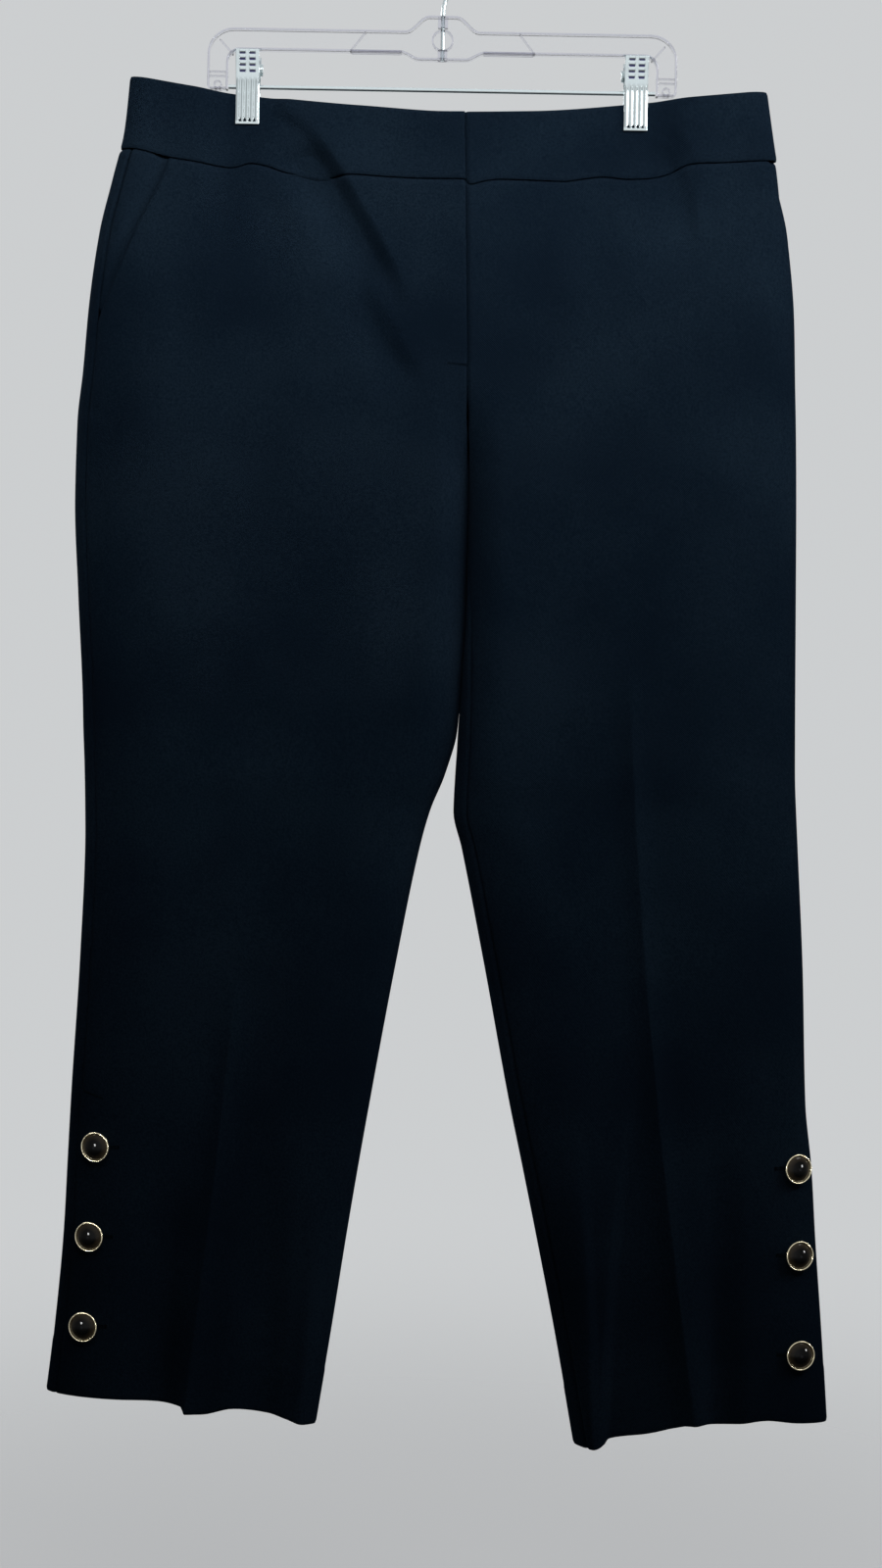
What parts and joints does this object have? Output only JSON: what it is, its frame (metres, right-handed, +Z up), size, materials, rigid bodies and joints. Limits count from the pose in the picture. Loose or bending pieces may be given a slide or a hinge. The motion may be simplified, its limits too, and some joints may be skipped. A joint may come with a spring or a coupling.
{
  "type": "ankle trousers on a clip hanger",
  "caption": "Dark ankle trousers with a flat waistband, slant pockets and buttoned ankle openings, hanging by clips from a clear trouser hanger.",
  "frame": {"origin": "inside top of the hanger's hook, where a rail carries it", "axes": "+Z up, -Y towards the trousers' front, +X towards the wearer's left"},
  "size_m": [0.5311, 0.0464, 1.0274],
  "materials": {
    "trouser_cloth": "matte fine weave, blue-black",
    "button_metal": "pale gold rim",
    "button_black": "glossy black",
    "clear_plastic": "clear, moulded",
    "bright_steel": "bright plated"
  },
  "bodies": {
    "root": {"front_right_panel": "trouser_cloth", "front_left_panel": "trouser_cloth", "back_right_panel": "trouser_cloth", "back_left_panel": "trouser_cloth", "waistband_right": "trouser_cloth", "waistband_left": "trouser_cloth", "fly_underlap": "trouser_cloth", "pocket_facing_right": "trouser_cloth", "pocket_facing_left": "trouser_cloth", "vent_underlap_right": "trouser_cloth", "vent_underlap_left": "trouser_cloth", "button_rim_right_1": "button_metal", "button_rim_right_2": "button_metal", "button_rim_right_3": "button_metal", "button_rim_left_1": "button_metal", "button_rim_left_2": "button_metal", "button_rim_left_3": "button_metal", "button_dome_right_1": "button_black", "button_dome_right_2": "button_black", "button_dome_right_3": "button_black", "button_dome_left_1": "button_black", "button_dome_left_2": "button_black", "button_dome_left_3": "button_black", "hanger_body": "clear_plastic", "hanger_hook": "bright_steel", "hanger_rod": "bright_steel", "clip_front_right": "bright_steel", "clip_back_right": "bright_steel", "clip_spring_right": "bright_steel", "clip_front_left": "bright_steel", "clip_back_left": "bright_steel", "clip_spring_left": "bright_steel"}
  },
  "joints": []
}
